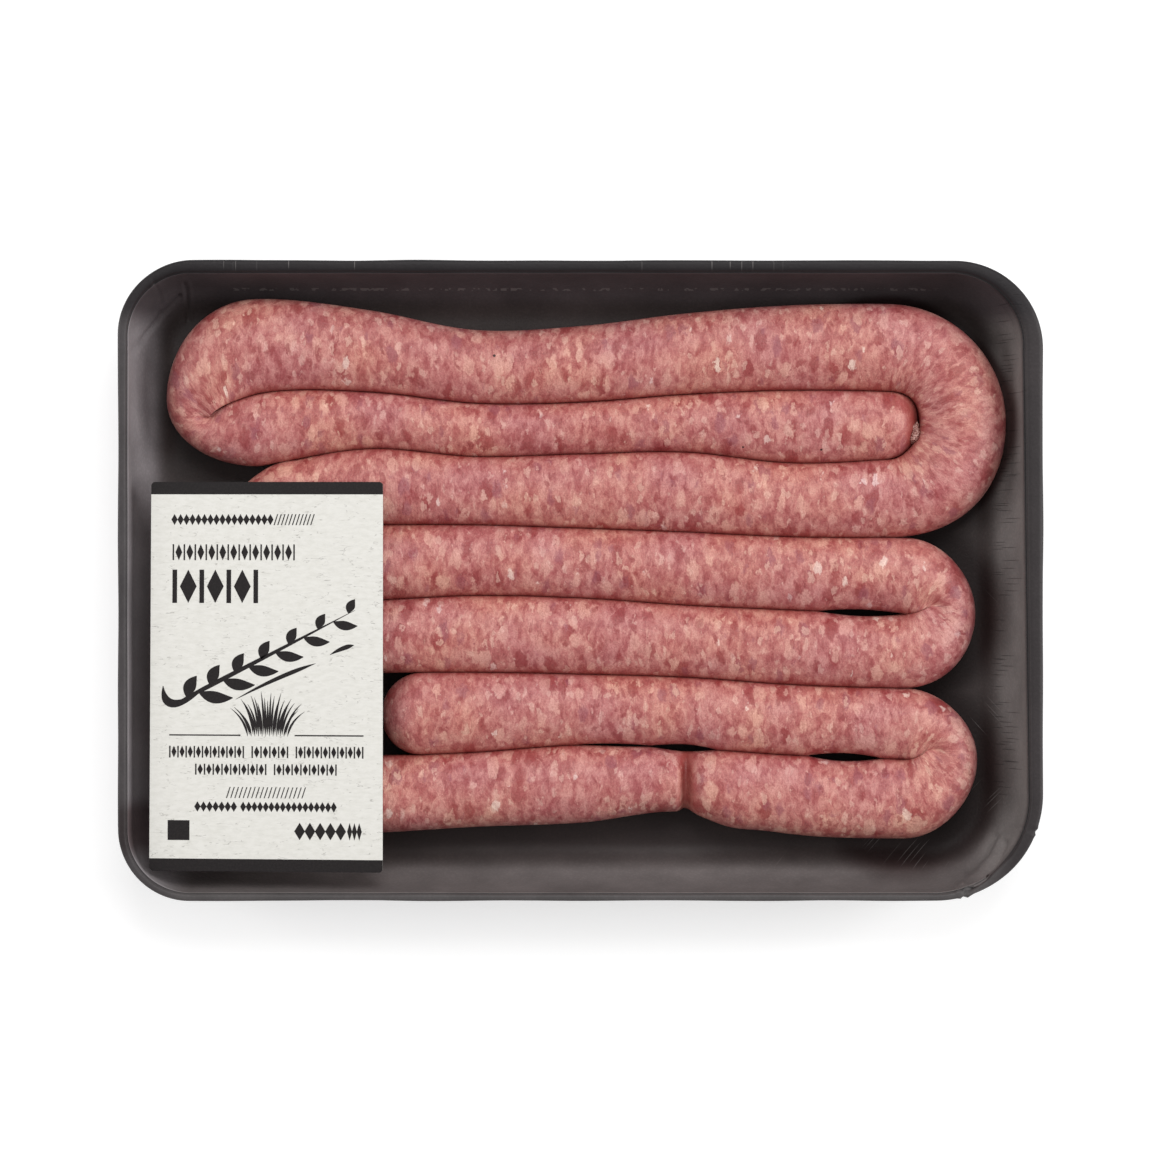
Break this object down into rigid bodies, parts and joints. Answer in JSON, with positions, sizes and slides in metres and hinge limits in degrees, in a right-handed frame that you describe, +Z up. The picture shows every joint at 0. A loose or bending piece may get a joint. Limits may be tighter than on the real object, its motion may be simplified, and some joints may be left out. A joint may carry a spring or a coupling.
{
  "type": "string of sausage links in a tray",
  "caption": "Long linked raw sausage folded back and forth in a shallow rectangular foam tray with rounded corners, a plain label card lying over its left part.",
  "frame": {"origin": "on the surface that the tray stands on, under the middle of the tray", "axes": "+X to the right along the tray's long side as the pack is read, +Y towards its back edge, +Z up out of the open tray"},
  "size_m": [0.26, 0.18, 0.03],
  "materials": {
    "tray_foam": "dark charcoal expanded foam with a soft sheen",
    "raw_sausage": "moist pink casing over coarse minced meat with pale fat",
    "label_paper": "uncoated off-white paper with fine grey fibres and dark printed bands"
  },
  "bodies": {
    "root": {"tray": "tray_foam", "sausage_string": "raw_sausage", "label_card": "label_paper"}
  },
  "joints": []
}
